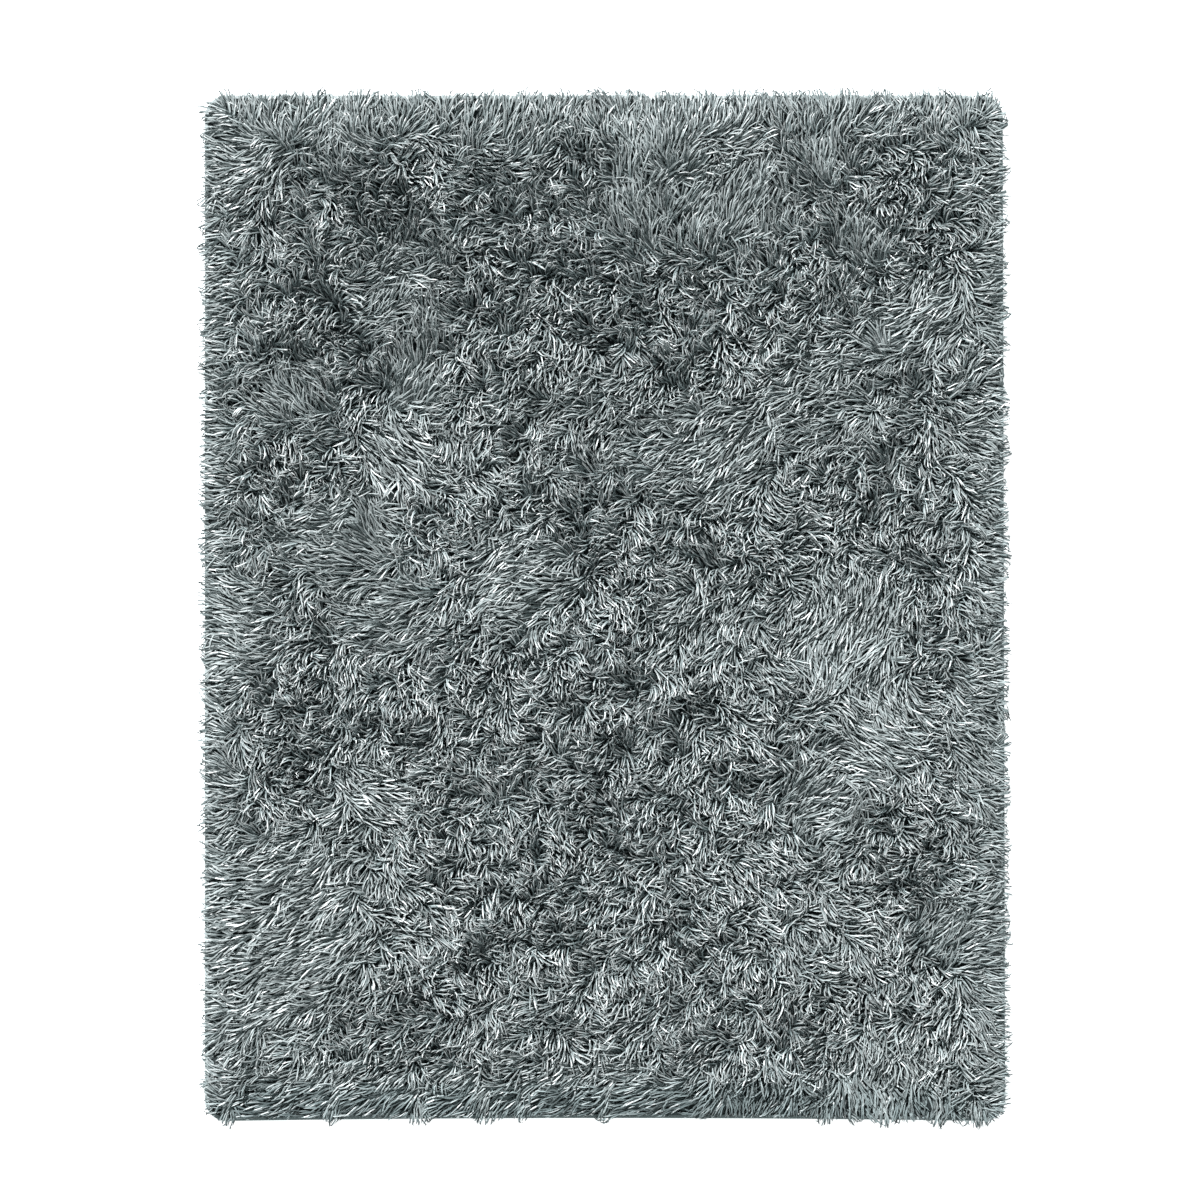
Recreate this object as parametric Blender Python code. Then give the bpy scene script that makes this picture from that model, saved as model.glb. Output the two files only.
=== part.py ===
"""A rectangular shag rug lying flat: a thin hemmed backing and the long pile that stands on it.

Run with blender --background --python part.py, or from Blender's text editor. Metres, +Z up.
The origin is the middle of the rug's underside, X runs across it and +Y to its far end.
"""

import math

import bmesh
import bpy
import numpy as np

# Driving sizes of the rug
RUG_WIDTH = 1.240  # the backing, along X
RUG_LENGTH = 1.585  # the backing, along Y
CORNER_RADIUS = 0.034
CORNER_STEPS = 8
BACKING_THICKNESS = 0.004
PIECE_GAP = 0.0003  # between the backing and the pile

# The hand-cut outline isn't quite straight
NEAR_END_BOW = 0.005  # the near end's corners lie this far beyond its middle
NEAR_END_STEPS = 12  # points along the near end of the backing
RIGHT_SIDE_DRAW = 0.004  # the right side is drawn in this much at the far end

# The backing's folded hem has a soft upper edge
HEM_ROUND = 0.0012
HEM_ROUND_STEPS = 2

# The pile's slab
HEM_WIDTH = 0.006  # the pile's roots stop this far inside the backing's edge
PILE_LOW = 0.0125  # the top of the pile in its deepest hollows
RIM_HEIGHT = 0.0135  # the top of the pile where it rolls over at the rim
RIM_ROLL = 0.050  # the width of that rolled edge
COLUMNS = 50
ROWS = 64
RIM_CROWDING = 1.2  # above 1, the slab's points stand closer together near its rim

# Swathes of pile lying one over another: each climbs from its roots to its tips and drops off
# there
SWATHE_PITCH = 0.066
SWATHE_JITTER = 0.020
SWATHE_HALF_LENGTH = (0.046, 0.074)
SWATHE_HALF_WIDTH = (0.032, 0.050)
SWATHE_RISE = (0.004, 0.0150)
SWATHE_CREST = 0.35  # the crest's place, from -1 at the roots to 1 at the tips
SWATHE_TURN = 32.0  # how far a swathe may turn from the lay around it, in degrees
SWATHE_SEED = 11

# Tufts: every other point of the slab's top is a tip, raised and leaning along the lay
TUFT_RISE = (0.006, 0.0135)
TUFT_LEAN = (0.006, 0.0125)
TUFT_TURN = 40.0  # how far a tip may lean aside from the lay, in degrees
TUFT_SEED = 7

# The lay of the pile, as it was brushed and trodden. Around x, y and out to about this
# reach, the tips point along the heading, in degrees from +X towards +Y
LAY = (
    # x, y, reach, heading
    (-0.53, 0.68, 0.06, 262),
    (-0.28, 0.69, 0.07, 315),
    (0.05, 0.66, 0.09, 90),
    (0.20, 0.61, 0.09, 50),
    (0.50, 0.45, 0.08, 240),
    (-0.32, 0.49, 0.09, 25),
    (-0.20, 0.43, 0.06, 180),
    (-0.49, 0.32, 0.08, 120),
    (-0.28, 0.24, 0.06, 315),
    (-0.50, 0.20, 0.07, 220),
    (-0.05, 0.29, 0.10, 228),
    (0.11, 0.28, 0.05, 155),
    (0.18, 0.27, 0.05, 60),
    (0.46, 0.30, 0.10, 225),
    (-0.42, 0.11, 0.08, 150),
    (-0.11, 0.11, 0.07, 260),
    (0.50, 0.11, 0.07, 230),
    (0.12, -0.02, 0.09, 220),
    (0.38, -0.03, 0.10, 255),
    (-0.43, -0.10, 0.09, 180),
    (-0.13, 0.04, 0.06, 200),
    (-0.22, -0.19, 0.08, 240),
    (0.40, -0.19, 0.08, 330),
    (-0.55, -0.27, 0.08, 225),
    (-0.35, -0.28, 0.05, 350),
    (0.34, -0.30, 0.06, 40),
    (-0.28, -0.45, 0.09, 350),
    (-0.42, -0.38, 0.07, 265),
    (0.36, -0.49, 0.10, 318),
    (-0.52, -0.55, 0.12, 195),
    (0.50, -0.62, 0.08, 272),
    (-0.08, -0.72, 0.09, 255),
    (0.10, -0.68, 0.10, 265),
)
LAY_ELSEWHERE = (235, 0.10)  # the heading between those places, and its weight
LAY_RIM = 0.075  # within this distance of the rim the tips turn outwards

# Where hands and feet parted the pile or pushed it up: the turn is the length's, in degrees
SWELLS = (
    # x, y, half length, half width, turn, rise
    (0.400, -0.008, 0.150, 0.022, 6, -0.0085),
    (0.420, -0.050, 0.120, 0.020, 4, -0.0065),
    (0.400, 0.026, 0.140, 0.024, 6, 0.0045),
    (0.130, -0.012, 0.050, 0.020, 25, -0.0080),
    (0.110, 0.024, 0.150, 0.024, 40, 0.0040),
    (0.100, 0.260, 0.130, 0.030, 75, -0.0050),
    (-0.455, 0.300, 0.090, 0.055, 10, 0.0035),
    (-0.300, 0.495, 0.150, 0.030, 22, 0.0040),
    (-0.395, 0.110, 0.060, 0.026, 80, -0.0070),
    (-0.270, 0.235, 0.070, 0.024, 120, -0.0060),
    (0.430, 0.440, 0.060, 0.026, 60, -0.0070),
    (0.360, 0.700, 0.045, 0.024, 10, -0.0060),
    (-0.380, -0.430, 0.170, 0.026, 105, 0.0045),
    (-0.330, -0.500, 0.140, 0.022, 115, -0.0060),
    (0.345, -0.300, 0.080, 0.026, 60, -0.0060),
    (0.560, -0.480, 0.100, 0.028, 92, -0.0045),
    (-0.420, -0.765, 0.190, 0.016, 2, -0.0065),
    (0.090, -0.765, 0.300, 0.016, 0, -0.0060),
)

# Locks of strands that hang out over the hem, one on each length of the pile's wall
LOCK_REACH = (0.006, 0.016)  # past the backing's edge
LOCK_SWAY = 0.6  # how far a tip may swing along the rim, as a share of the lock's half width
LOCK_SEED = 5
LOCK_OVER_HEM = 0.010  # the height of a lock's middle where it crosses the hem
LOCK_DROP = 0.012  # it has come down to the floor this far past the backing
FLOOR_CLEARANCE = 0.0002
LOCK_RINGS = (
    # place from wall to tip, width as a share of the wall's, half height
    (0.45, 0.66, 0.0033),
    (0.80, 0.36, 0.0013),
)

# Stretches of the near end where the pile is brushed back and its hem shows
BARE_HEM = (
    # from x, to x
    (-0.570, -0.450),
    (-0.395, -0.350),
    (-0.255, -0.215),
    (-0.160, -0.030),
    (0.045, 0.290),
)
BARE_REACH = -0.0015  # the tips there stop just short of the edge

# Materials: base colour (linear), roughness, metallic
PILE_FINISH = ((0.155, 0.185, 0.187), 0.62, 0.0)
BACKING_FINISH = ((0.27, 0.31, 0.315), 0.85, 0.0)


def clear_scene():
    """Removes whatever the scene holds."""
    for obj in list(bpy.data.objects):
        bpy.data.objects.remove(obj, do_unlink=True)


def material(name, finish):
    """A Principled material with this base colour, roughness and metallic value."""
    colour, roughness, metallic = finish
    made = bpy.data.materials.new(name)
    made.use_nodes = True
    shader = made.node_tree.nodes["Principled BSDF"]
    shader.inputs["Base Color"].default_value = (*colour, 1.0)
    shader.inputs["Roughness"].default_value = roughness
    shader.inputs["Metallic"].default_value = metallic
    made.diffuse_color = (*colour, 1.0)
    return made


def object_from(name, made, finish):
    """A new object of this bmesh, which it frees, with its faces turned outwards."""
    bmesh.ops.recalc_face_normals(made, faces=made.faces)
    mesh = bpy.data.meshes.new(name)
    made.to_mesh(mesh)
    made.free()
    mesh.materials.append(material(name, finish))
    obj = bpy.data.objects.new(name, mesh)
    bpy.context.scene.collection.objects.link(obj)
    return obj


def smoothstep(t):
    """0 below 0, 1 above 1, and an even curve between."""
    t = min(max(t, 0.0), 1.0)
    return t * t * (3 - 2 * t)


def uneven(x, y):
    """Moves a point of the true rectangle to the rug's slightly uneven outline."""
    across = x / (RUG_WIDTH / 2)
    along = y / (RUG_LENGTH / 2)
    x -= RIGHT_SIDE_DRAW * max(across, 0.0) * (along + 1) / 2
    y -= NEAR_END_BOW * max(-along, 0.0) * across**2
    return x, y


def crowd(share):
    """Moves a place from -1 to 1 across the slab outwards, so that places crowd at the rim."""
    return math.copysign(1 - (1 - abs(share)) ** RIM_CROWDING, share)


def round_corner(x, y, half_width, half_length, radius):
    """Moves a point of a rectangle's grid so that the rectangle's corners become arcs."""
    past_x = (abs(x) - (half_width - radius)) / radius
    past_y = (abs(y) - (half_length - radius)) / radius
    if past_x <= 0 or past_y <= 0:
        return x, y
    pull = max(past_x, past_y) / math.hypot(past_x, past_y)
    return (
        math.copysign(half_width - radius + radius * past_x * pull, x),
        math.copysign(half_length - radius + radius * past_y * pull, y),
    )


def backing():
    """The backing: a thin plate with rounded corners, its upper edge folded over in a hem."""
    half_width, half_length = RUG_WIDTH / 2, RUG_LENGTH / 2
    outline = []
    for corner, (side_x, side_y) in enumerate(((1, 1), (-1, 1), (-1, -1), (1, -1))):
        for step in range(CORNER_STEPS + 1):
            angle = math.pi / 2 * (corner + step / CORNER_STEPS)
            x = side_x * (half_width - CORNER_RADIUS) + CORNER_RADIUS * math.cos(angle)
            y = side_y * (half_length - CORNER_RADIUS) + CORNER_RADIUS * math.sin(angle)
            outline.append((x, y))
        if (side_x, side_y) == (-1, -1):
            end = half_width - CORNER_RADIUS
            outline += [(x, -half_length) for x in np.linspace(-end, end, NEAR_END_STEPS)[1:-1]]
    made = bmesh.new()
    bottom = made.faces.new([made.verts.new((*uneven(x, y), 0.0)) for x, y in outline])
    top = bmesh.ops.extrude_face_region(made, geom=[bottom])["geom"]
    top_verts = {part for part in top if isinstance(part, bmesh.types.BMVert)}
    bmesh.ops.translate(made, verts=list(top_verts), vec=(0, 0, BACKING_THICKNESS))
    bmesh.ops.bevel(
        made,
        geom=[edge for edge in made.edges if top_verts.issuperset(edge.verts)],
        offset=HEM_ROUND,
        segments=HEM_ROUND_STEPS,
        profile=0.5,
        affect="EDGES",
    )
    return object_from("backing", made, BACKING_FINISH)


def rim_distance(x, y):
    """How far a point lies inside the nearest edge of the backing."""
    return np.minimum(RUG_WIDTH / 2 - np.abs(x), RUG_LENGTH / 2 - np.abs(y))


def lay_heading(x, y):
    """The way the tips point, in radians: the mean of the brushed places' headings, each
    weighed by its closeness, and of the way out near the rim."""
    heading, weight = LAY_ELSEWHERE
    east = np.full(x.shape, weight * math.cos(math.radians(heading)))
    north = np.full(x.shape, weight * math.sin(math.radians(heading)))
    for place_x, place_y, reach, heading in LAY:
        weight = np.exp(-((x - place_x) ** 2 + (y - place_y) ** 2) / reach**2)
        east += weight * math.cos(math.radians(heading))
        north += weight * math.sin(math.radians(heading))
    for sign in (-1, 1):
        east += 2 * sign * np.exp(-(((RUG_WIDTH / 2 - sign * x) / LAY_RIM) ** 2))
        north += 2 * sign * np.exp(-(((RUG_LENGTH / 2 - sign * y) / LAY_RIM) ** 2))
    return np.arctan2(north, east)


def swathe_table():
    """The swathes' x, y, heading, half length, half width and rise: a staggered lattice, each
    swathe moved a little, and turned with the lay."""
    draw = np.random.default_rng(SWATHE_SEED)
    rows = math.ceil(RUG_LENGTH / SWATHE_PITCH) + 1
    columns = math.ceil(RUG_WIDTH / SWATHE_PITCH) + 1
    row, column = np.meshgrid(np.arange(rows), np.arange(columns), indexing="ij")
    x = ((column - (columns - 1) / 2 + 0.5 * (row % 2) - 0.25) * SWATHE_PITCH).ravel()
    y = ((row - (rows - 1) / 2) * SWATHE_PITCH).ravel()
    x += draw.uniform(-SWATHE_JITTER, SWATHE_JITTER, x.size)
    y += draw.uniform(-SWATHE_JITTER, SWATHE_JITTER, x.size)
    turn = np.radians(draw.uniform(-SWATHE_TURN, SWATHE_TURN, x.size))
    return (
        x,
        y,
        lay_heading(x, y) + turn,
        draw.uniform(*SWATHE_HALF_LENGTH, x.size),
        draw.uniform(*SWATHE_HALF_WIDTH, x.size),
        draw.uniform(*SWATHE_RISE, x.size),
    )


def swathe_rise(x, y, swathes):
    """The height that the highest swathe adds at a point: a ramp up along its heading to the
    crest, a steeper fall to the tips, and a parabola across."""
    swathe_x, swathe_y, heading, half_length, half_width, rise = swathes
    cos, sin = np.cos(heading), np.sin(heading)
    along = ((x - swathe_x) * cos + (y - swathe_y) * sin) / half_length
    across = ((y - swathe_y) * cos - (x - swathe_x) * sin) / half_width
    climb = np.minimum((1 + along) / (1 + SWATHE_CREST), (1 - along) / (1 - SWATHE_CREST))
    return float(np.max(rise * np.clip(climb, 0, 1) * np.clip(1 - across**2, 0, 1)))


def swell_rise(x, y):
    """The sum of the partings and swells at a point, each a smooth long trough or mound."""
    total = 0.0
    for centre_x, centre_y, half_length, half_width, turn, rise in SWELLS:
        cos, sin = math.cos(math.radians(turn)), math.sin(math.radians(turn))
        along = ((x - centre_x) * cos + (y - centre_y) * sin) / half_length
        across = ((y - centre_y) * cos - (x - centre_x) * sin) / half_width
        total += rise * math.exp(-(along**2) - across**2)
    return total


def rim_roll(x, y):
    """How far up the rolled rim a point lies, from 0 at the slab's wall to 1 inside."""
    return math.sqrt(smoothstep((rim_distance(x, y) - HEM_WIDTH) / RIM_ROLL))


def pile_top(x, y, swathes):
    """The height of the pile's top: its hollows, the swathes and swells, and the rolled rim."""
    height = PILE_LOW + swathe_rise(x, y, swathes) + swell_rise(x, y)
    return RIM_HEIGHT + (height - RIM_HEIGHT) * rim_roll(x, y)


def lock_middle(past_edge):
    """The height of a lock's middle this far past the backing's edge: over the hem and down."""
    return LOCK_OVER_HEM * (1 - smoothstep(past_edge / LOCK_DROP))


def lock_reach(x, y, draw):
    """How far the lock rooted at this place of the rim reaches past the backing's edge."""
    reach = draw.uniform(*LOCK_REACH)
    at_near_end = y < -(RUG_LENGTH / 2 - 2 * HEM_WIDTH)
    if at_near_end and any(low < x < high for low, high in BARE_HEM):
        return BARE_REACH
    return reach


def grow_lock(made, face, draw):
    """Extrudes a face of the pile's wall into a tapering lock that droops over the hem."""
    root = face.calc_center_median()
    out = face.normal.copy()
    out.z = 0
    out.normalize()
    side = out.cross((0, 0, 1))
    half_width = max((vert.co - root).dot(side) for vert in face.verts)
    reach = lock_reach(root.x, root.y, draw)
    sway = half_width * draw.uniform(-LOCK_SWAY, LOCK_SWAY)
    for place, share, half_height in LOCK_RINGS:
        face = bmesh.ops.extrude_discrete_faces(made, faces=[face])["faces"][0]
        run = (HEM_WIDTH + reach) * place
        middle = root + out * run + side * (sway * place**2)
        low = max(lock_middle(run - HEM_WIDTH) - half_height, FLOOR_CLEARANCE)
        mid_height = face.calc_center_median().z
        for vert in face.verts:
            upper = vert.co.z > mid_height
            offset = math.copysign(half_width * share, (vert.co - root).dot(side))
            vert.co = middle + side * offset
            vert.co.z = low + 2 * half_height if upper else low
    tip = bmesh.ops.poke(made, faces=[face])["verts"][0]
    tip.co = root + out * (HEM_WIDTH + reach) + side * sway
    tip.co.z = max(lock_middle(reach), LOCK_RINGS[-1][2] + FLOOR_CLEARANCE)


def raise_tufts(made):
    """Raises every other point inside the rim into a tip that leans along the lay."""
    draw = np.random.default_rng(TUFT_SEED)
    for index, vert in enumerate(made.verts):
        column, row = index % (COLUMNS + 1), index // (COLUMNS + 1)
        rise, lean = draw.uniform(*TUFT_RISE), draw.uniform(*TUFT_LEAN)
        turn = math.radians(draw.uniform(-TUFT_TURN, TUFT_TURN))
        if vert.is_boundary or (column + row) % 2:
            continue
        x, y, _ = vert.co
        heading = float(lay_heading(np.array([x]), np.array([y]))[0]) + turn
        inside = rim_roll(x, y)
        vert.co.x += lean * inside * math.cos(heading)
        vert.co.y += lean * inside * math.sin(heading)
        vert.co.z += rise * inside


def pile():
    """The pile: one lumpy slab on the backing, with locks of strands all round its rim."""
    half_width = RUG_WIDTH / 2 - HEM_WIDTH
    half_length = RUG_LENGTH / 2 - HEM_WIDTH
    swathes = swathe_table()
    made = bmesh.new()
    bmesh.ops.create_grid(made, x_segments=COLUMNS, y_segments=ROWS, size=1.0)
    for vert in made.verts:
        x, y = crowd(vert.co.x) * half_width, crowd(vert.co.y) * half_length
        x, y = round_corner(x, y, half_width, half_length, CORNER_RADIUS - HEM_WIDTH)
        vert.co = (*uneven(x, y), pile_top(x, y, swathes))
    raise_tufts(made)
    bmesh.ops.triangulate(made, faces=made.faces, quad_method="SHORT_EDGE")
    rim = sorted(
        (vert for vert in made.verts if vert.is_boundary),
        key=lambda vert: math.atan2(vert.co.y, vert.co.x),
    )
    foot_height = BACKING_THICKNESS + PIECE_GAP
    foot = [made.verts.new((vert.co.x, vert.co.y, foot_height)) for vert in rim]
    made.faces.new(foot)
    walls = []
    for here in range(len(rim)):
        after = (here + 1) % len(rim)
        walls.append(made.faces.new((rim[here], foot[here], foot[after], rim[after])))
    bmesh.ops.recalc_face_normals(made, faces=made.faces)
    draw = np.random.default_rng(LOCK_SEED)
    for wall in walls:
        grow_lock(made, wall, draw)
    return object_from("pile", made, PILE_FINISH)


def stand_on_origin(objects):
    """Puts the middle of the objects' common outline over the origin."""
    points = np.array([vert.co for obj in objects for vert in obj.data.vertices])
    middle = (points.min(axis=0) + points.max(axis=0)) / 2
    for obj in objects:
        obj.location = (-middle[0], -middle[1], 0.0)


clear_scene()
stand_on_origin([backing(), pile()])
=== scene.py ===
"""The looks of a rectangular shag rug that lies flat, seen straight down in a plain studio."""

import bpy
import numpy as np
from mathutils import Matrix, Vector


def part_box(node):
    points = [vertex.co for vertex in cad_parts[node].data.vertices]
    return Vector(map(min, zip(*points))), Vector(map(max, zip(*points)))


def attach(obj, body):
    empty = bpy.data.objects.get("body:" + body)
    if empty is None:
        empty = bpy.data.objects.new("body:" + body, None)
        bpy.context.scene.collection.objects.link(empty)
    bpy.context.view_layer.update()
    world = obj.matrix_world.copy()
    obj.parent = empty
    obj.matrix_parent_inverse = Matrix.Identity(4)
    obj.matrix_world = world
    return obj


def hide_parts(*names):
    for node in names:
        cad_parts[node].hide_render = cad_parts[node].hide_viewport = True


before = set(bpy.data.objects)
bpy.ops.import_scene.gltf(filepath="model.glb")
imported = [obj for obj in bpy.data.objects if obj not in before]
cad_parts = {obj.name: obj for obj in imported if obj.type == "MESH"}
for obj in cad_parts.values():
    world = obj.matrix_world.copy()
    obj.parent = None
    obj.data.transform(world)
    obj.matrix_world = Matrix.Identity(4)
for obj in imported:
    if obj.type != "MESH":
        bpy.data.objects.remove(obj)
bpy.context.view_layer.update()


# The backing. Woven polypropylene cloth with its edge folded over once and sewn down in a hem,
# which shows as a narrow plain strip where the pile at the near end is brushed along it.

BACKING_LOW, BACKING_HIGH = (np.array(corner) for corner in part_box("backing"))
NEAR_END_BOW = 0.005  # the near end's corners lie this far beyond its middle
RIGHT_SIDE_DRAW = 0.004  # the right side is drawn in this much at the far end
HALF_WIDTH = (BACKING_HIGH[0] - BACKING_LOW[0]) / 2
HALF_LENGTH = (BACKING_HIGH[1] - BACKING_LOW[1] - NEAR_END_BOW) / 2
MIDDLE_X = (BACKING_HIGH[0] + BACKING_LOW[0]) / 2
MIDDLE_Y = BACKING_HIGH[1] - HALF_LENGTH
CORNER_RADIUS = 0.034
TINY = 1e-9  # keeps a division off zero

HEM_WIDTH = 0.011
HEM_HEIGHT = BACKING_HIGH[2]
CLOTH_THICKNESS = 0.0030
FLAT_FROM = 0.050  # from here inwards, flat fans of triangles close the cloth
LEAST_RADIUS = 0.001  # its rings' corners stay at least this round
SIDE_STEPS = 60  # steps along each side of the outline
CORNER_POINTS = 10  # points round each of its corners

TAPE_WIDTH = 0.0025
TAPE_COLOURS = ("#98a1a2", "#a6aeaf")
TAPE_RELIEF = 0.0004
WEAR_SIZE = 1 / 60  # the cloth is worn in patches of about 17 mm


def linear(hex_colour):
    """An sRGB hex colour as linear red, green, blue and alpha."""
    parts = np.array([int(hex_colour[i : i + 2], 16) for i in (1, 3, 5)]) / 255
    low = parts / 12.92
    high = ((parts + 0.055) / 1.055) ** 2.4
    return (*np.where(parts <= 0.04045, low, high), 1.0)


def add_node(material, kind, settings=(), links=()):
    """Adds a node of this kind. Settings are (name or socket, value), and links are
    (socket, node, that node's output)."""
    node = material.node_tree.nodes.new(kind)
    for name, value in settings:
        if isinstance(name, str) and hasattr(node, name):
            setattr(node, name, value)
        else:
            node.inputs[name].default_value = value
    for socket, source, output in links:
        material.node_tree.links.new(node.inputs[socket], source.outputs[output])
    return node


def uneven(x, y):
    """The true rectangle's points moved to the rug's slightly uneven outline, in the frame: the
    right side drawn in evenly towards the far end, and the near end bowed by the square of
    the way across."""
    across, along = x / HALF_WIDTH, y / HALF_LENGTH
    moved_x = x - RIGHT_SIDE_DRAW * np.maximum(across, 0) * (along + 1) / 2
    moved_y = y - NEAR_END_BOW * np.maximum(-along, 0) * across**2
    return moved_x + MIDDLE_X, moved_y + MIDDLE_Y


def past_edge(x, y):
    """The signed distance past the backing's rounded rectangle, and the way out there: in its
    corners from the corner's own middle, less its radius, and elsewhere from the nearest
    side."""
    corner_x = np.abs(x) - (HALF_WIDTH - CORNER_RADIUS)
    corner_y = np.abs(y) - (HALF_LENGTH - CORNER_RADIUS)
    reach = np.hypot(np.maximum(corner_x, 0), np.maximum(corner_y, 0))
    distance = reach + np.minimum(np.maximum(corner_x, corner_y), 0) - CORNER_RADIUS
    round_part = (corner_x > 0) & (corner_y > 0)
    reach = np.maximum(reach, TINY)
    out_x = np.where(round_part, corner_x / reach, corner_x > corner_y) * np.sign(x)
    out_y = np.where(round_part, corner_y / reach, corner_x <= corner_y) * np.sign(y)
    return distance, out_x, out_y


def new_piece(name, points, triangles, material, attributes=(), smooth=True):
    """A mesh object of these points and triangles, with named numbers on its points."""
    mesh = bpy.data.meshes.new(name)
    mesh.vertices.add(len(points))
    mesh.vertices.foreach_set("co", np.asarray(points, np.float32).ravel())
    mesh.loops.add(triangles.size)
    mesh.loops.foreach_set("vertex_index", triangles.astype(np.int32).ravel())
    mesh.polygons.add(len(triangles))
    mesh.polygons.foreach_set("loop_start", np.arange(0, triangles.size, 3, dtype=np.int32))
    mesh.polygons.foreach_set("use_smooth", np.full(len(triangles), smooth))
    mesh.update()
    for key, values in attributes:
        layer = mesh.attributes.new(key, "FLOAT", "POINT")
        layer.data.foreach_set("value", np.asarray(values, np.float32).ravel())
    mesh.materials.append(material)
    obj = bpy.data.objects.new(name, mesh)
    bpy.context.scene.collection.objects.link(obj)
    return obj


def grid_triangles(rows, columns, wrap=False):
    """The triangles of a rows by columns grid of points, closed round its columns if wrap."""
    row = np.arange(rows - 1)[:, None]
    column = np.arange(columns if wrap else columns - 1)[None, :]
    after = (column + 1) % columns
    a, b = row * columns + column, row * columns + after
    c, d = (row + 1) * columns + after, (row + 1) * columns + column
    return np.stack([a, b, c, a, c, d], axis=-1).reshape(-1, 3)


def outline(inset):
    """The backing's outline moved in by inset, anticlockwise: each corner an arc, and evenly
    spaced points along each side between."""
    radius = max(CORNER_RADIUS - inset, LEAST_RADIUS)
    half_x, half_y = HALF_WIDTH - inset - radius, HALF_LENGTH - inset - radius
    corners = half_x * np.array([1, -1, -1, 1]) + 1j * half_y * np.array([1, 1, -1, -1])
    angle = np.pi / 2 * (np.arange(4)[:, None] + np.linspace(0, 1, CORNER_POINTS))
    arcs = corners[:, None] + radius * np.exp(1j * angle)
    start, end = arcs[:, -1:], np.roll(arcs, -1, axis=0)[:, :1]
    sides = start + (end - start) * np.linspace(0, 1, SIDE_STEPS + 1)[1:-1]
    around = np.concatenate([arcs, sides], axis=1).ravel()
    return around.real, around.imag


# The section of the cloth and hem, from the middle of the underside round the fold to the
# middle of the upper side: how far in from the edge, and the height
HEM_SECTION = np.array(
    (
        # inset, height
        (FLAT_FROM, 0.0000),
        (HEM_WIDTH, 0.0000),
        (0.0014, 0.0000),
        (0.0004, 0.0005),
        (0.0000, HEM_HEIGHT / 2),
        (0.0004, HEM_HEIGHT - 0.0005),
        (0.0014, HEM_HEIGHT),
        (HEM_WIDTH - 0.0010, HEM_HEIGHT),
        (HEM_WIDTH, CLOTH_THICKNESS),
        (FLAT_FROM, CLOTH_THICKNESS),
    )
)


def backing_mesh():
    """The hem's section carried round the outline, and closed in the middle above and below
    by a fan of triangles."""
    rings = []
    for inset, height in HEM_SECTION:
        x, y = uneven(*outline(inset))
        rings.append(np.stack([x, y, np.full(x.shape, height)], axis=1))
    count = len(rings[0])
    middles = [(MIDDLE_X, MIDDLE_Y, 0.0), (MIDDLE_X, MIDDLE_Y, CLOTH_THICKNESS)]
    points = np.concatenate([*rings, middles])
    walls = grid_triangles(len(rings), count, wrap=True)
    around = np.arange(count)
    after = (around + 1) % count
    last = (len(rings) - 1) * count
    under = np.full(count, len(points) - 2)
    upper = np.full(count, len(points) - 1)
    bottom = np.stack([after, around, under], axis=1)
    top = np.stack([around + last, after + last, upper], axis=1)
    return points, np.concatenate([walls, bottom, top])


def backing_cloth():
    """Woven polypropylene: flat matt tapes, over and under, in mid grey. The weave is a
    checker of two tones as wide as a tape, and every other crossing stands a little higher."""
    made = bpy.data.materials.new("woven_polypropylene")
    made.use_nodes = True
    shader = made.node_tree.nodes["Principled BSDF"]
    shader.inputs["Roughness"].default_value = 0.75
    shader.inputs["Specular IOR Level"].default_value = 0.3
    place = add_node(made, "ShaderNodeTexCoord")
    tapes = add_node(
        made,
        "ShaderNodeTexChecker",
        [
            ("Scale", 1 / TAPE_WIDTH),
            ("Color1", linear(TAPE_COLOURS[0])),
            ("Color2", linear(TAPE_COLOURS[1])),
        ],
        [("Vector", place, "Object")],
    )
    wear = add_node(
        made,
        "ShaderNodeTexNoise",
        [("Scale", 1 / WEAR_SIZE)],
        [("Vector", place, "Object")],
    )
    mixed = add_node(
        made,
        "ShaderNodeMixRGB",
        [("blend_type", "MULTIPLY"), ("Fac", 0.3)],
        [("Color1", tapes, "Color"), ("Color2", wear, "Fac")],
    )
    bump = add_node(
        made,
        "ShaderNodeBump",
        [("Strength", 0.6), ("Distance", TAPE_RELIEF)],
        [("Height", tapes, "Fac")],
    )
    made.node_tree.links.new(shader.inputs["Base Color"], mixed.outputs["Color"])
    made.node_tree.links.new(shader.inputs["Normal"], bump.outputs["Normal"])
    return made


backing = new_piece("backing_cloth", *backing_mesh(), backing_cloth())
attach(backing, "root")
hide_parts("backing")


# The foot of the pile. Down between the strands the yarns stand too close to tell apart: a
# lumpy mass of polyester, tufted through the backing a little inside its hem, and painted dark
# as the shade deep in the pile.

ROOT_INSET = 0.006  # the outermost roots stand this far inside the backing's edge
ROOT_GAP = 0.0003
ROOT_HEIGHT = HEM_HEIGHT + ROOT_GAP
FOOT_HEIGHT = 0.0088
FOOT_EDGE = 0.006  # it rises to that height over this distance from its border
FOOT_LUMP_HEIGHT = 0.0018
FOOT_LUMPS = (
    # size, share of that height
    (0.012, 1.0),
    (0.030, 0.6),
)
FOOT_SEED = 41
FOOT_COLUMNS = 120
FOOT_ROWS = 150

MOTTLE_SIZE = 1 / 320  # about 3 mm, a little more than a strand is wide
# Its dark colours are painted shade, as deep down between the strands
MOTTLED_SHADE_COLOURS = (
    # place along the mottle, colour
    (0.35, "#14191a"),
    (0.75, "#2c3334"),
)

NOISE_WAVES = 14
WAVE_SIZES = (0.7, 1.5)  # the shortest and the longest, of the noise's size


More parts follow.
